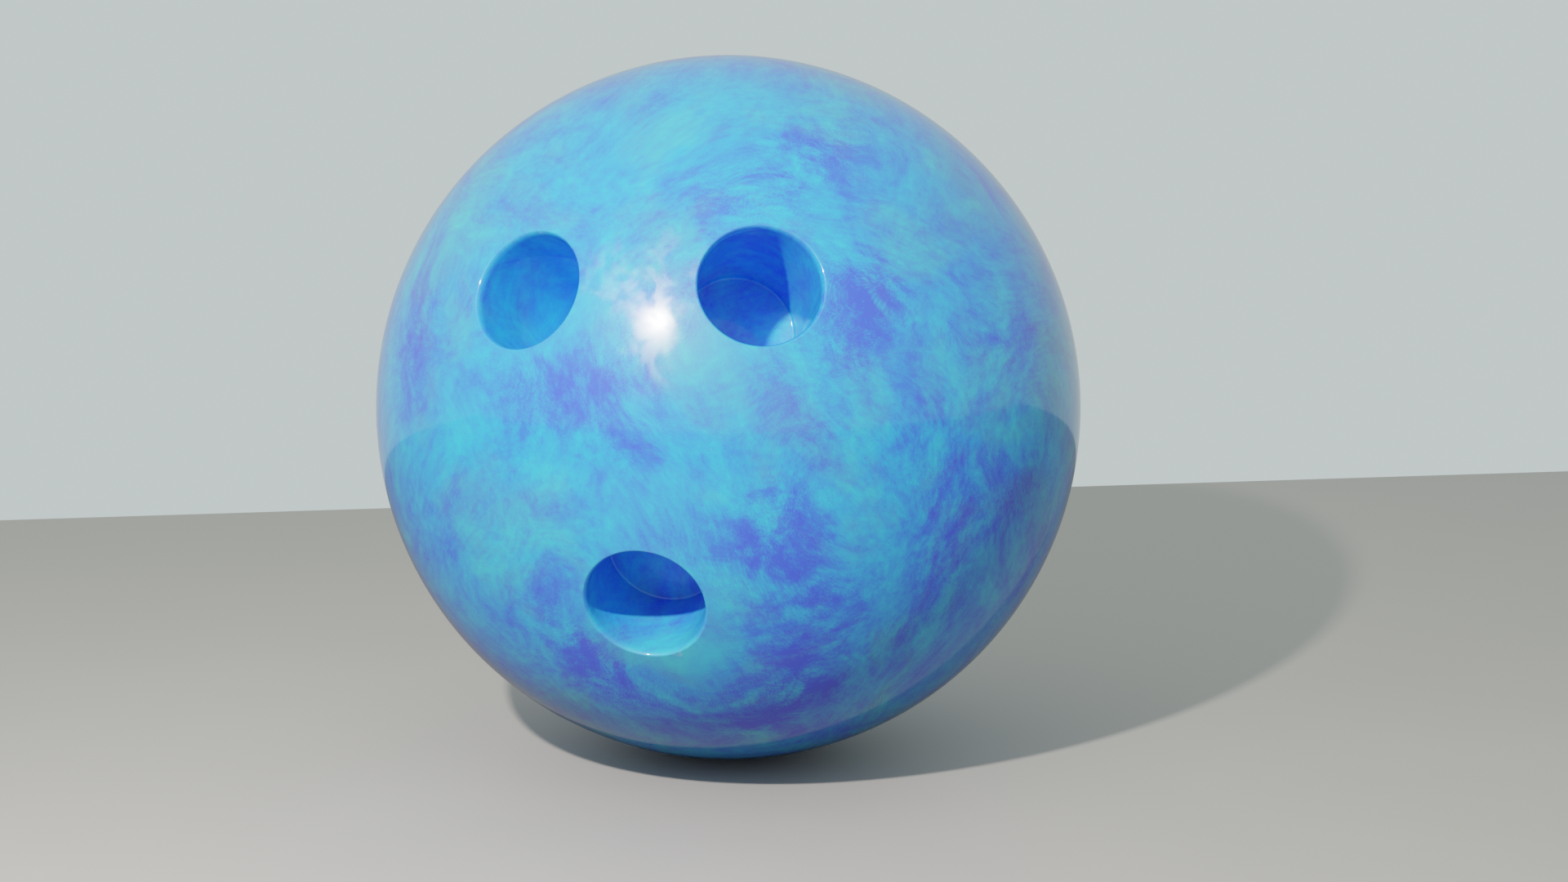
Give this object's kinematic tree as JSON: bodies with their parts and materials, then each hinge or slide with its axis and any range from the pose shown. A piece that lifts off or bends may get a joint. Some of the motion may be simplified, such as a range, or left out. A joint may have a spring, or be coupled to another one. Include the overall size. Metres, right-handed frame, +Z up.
{
  "type": "bowling ball",
  "caption": "Glossy swirled ball with finger holes and a thumb hole, cast in layers round a light-bulb weight block.",
  "frame": {"origin": "the centre of the ball", "axes": "+Z up as the ball rests on a floor, -Y out through the middle of the grip, finger holes above the thumb hole, +X to the right when facing the grip"},
  "size_m": [0.216, 0.216, 0.216],
  "materials": {
    "cover_resin": "gloss",
    "filler_resin": "matte",
    "block_ceramic": "matte",
    "dowel_wood": "matte",
    "plug_resin": "gloss"
  },
  "bodies": {
    "root": {"coverstock": "cover_resin", "filler_core": "filler_resin", "weight_block": "block_ceramic", "core_dowel": "dowel_wood", "pin_plug": "plug_resin"}
  },
  "joints": []
}
